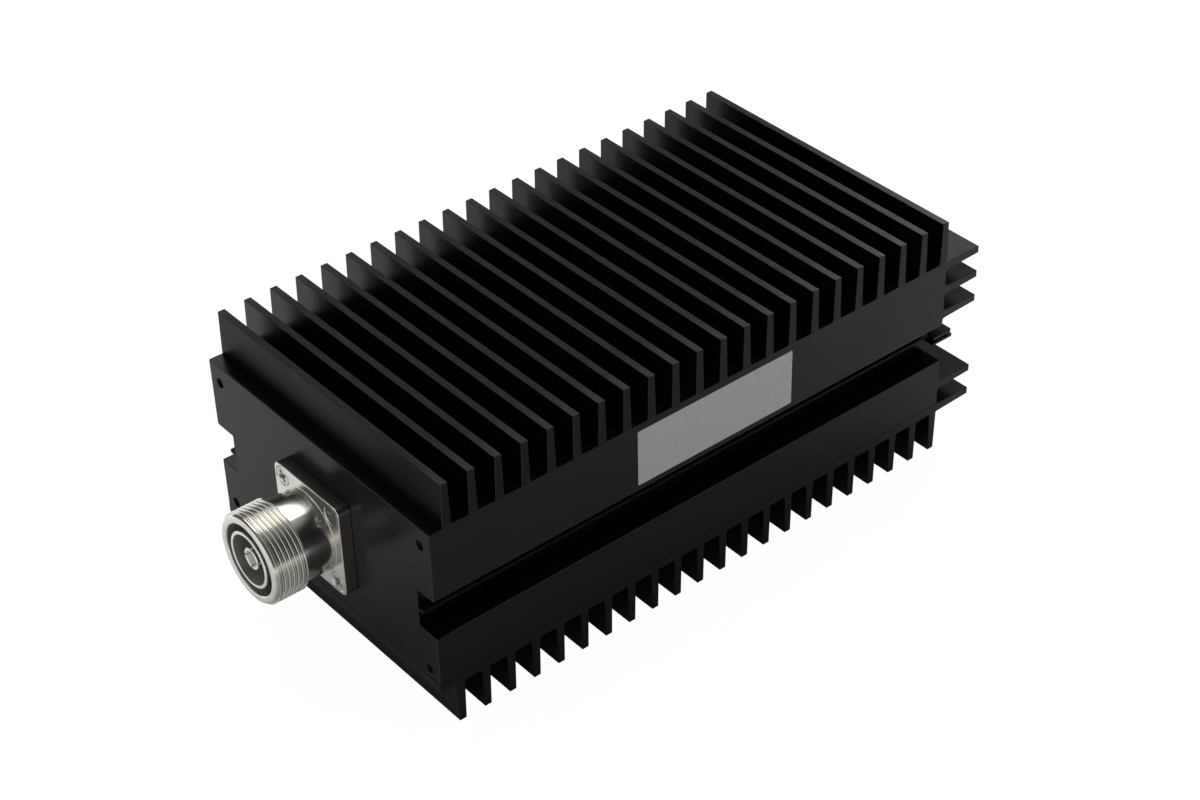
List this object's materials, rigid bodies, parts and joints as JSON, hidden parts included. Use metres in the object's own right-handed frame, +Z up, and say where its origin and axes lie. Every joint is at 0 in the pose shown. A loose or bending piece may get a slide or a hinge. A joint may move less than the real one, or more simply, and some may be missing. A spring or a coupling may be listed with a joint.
{
  "type": "rf dummy load",
  "caption": "Coaxial radio-frequency termination: a long black finned heat sink block with a threaded coaxial connector on a square flange, standing on its bottom fins.",
  "frame": {"origin": "middle of the footprint, on the floor under the bottom fins' tips", "axes": "+X runs from the connector to the rear fins and is parallel to the connector's axis, +Z is up, -Y is the side with the label"},
  "size_m": [0.239, 0.1085, 0.0866],
  "materials": {
    "upper_heatsink": "black anodised, satin",
    "lower_body": "black anodised, satin",
    "bottom_fin_plate": "black anodised, satin",
    "front_plate": "black anodised, satin, slightly faded at the edges",
    "centre_plate": "dark anodised sheet",
    "parting_gasket": "matt",
    "connector_shell": "bright white-bronze plating",
    "outer_contact": "silver plated",
    "centre_socket": "silver plated",
    "connector_insulator": "white, waxy",
    "launch_bead": "white, waxy",
    "launch_pin": "silver plated",
    "flange_seal": "matt",
    "flange_screws": "bright",
    "clamp_screws": "satin",
    "load_carrier": "bare copper, satin",
    "thermal_foil": "soft foil",
    "load_chip": "white ceramic with a dark film",
    "load_cover": "white ceramic",
    "load_tab": "tinned ribbon",
    "carrier_screws": "satin",
    "rating_label": "matt silver foil, bare"
  },
  "bodies": {
    "root": {"upper_heatsink": "upper_heatsink", "lower_body": "lower_body", "bottom_fin_plate": "bottom_fin_plate", "front_plate": "front_plate", "centre_plate": "centre_plate", "parting_gasket": "parting_gasket", "connector_shell": "connector_shell", "outer_contact": "outer_contact", "centre_socket": "centre_socket", "connector_insulator": "connector_insulator", "launch_bead": "launch_bead", "launch_pin": "launch_pin", "flange_seal": "flange_seal", "flange_screws": "flange_screws", "clamp_screws": "clamp_screws", "load_carrier": "load_carrier", "thermal_foil": "thermal_foil", "load_chip": "load_chip", "load_cover": "load_cover", "load_tab": "load_tab", "carrier_screws": "carrier_screws", "rating_label": "rating_label"}
  },
  "joints": []
}
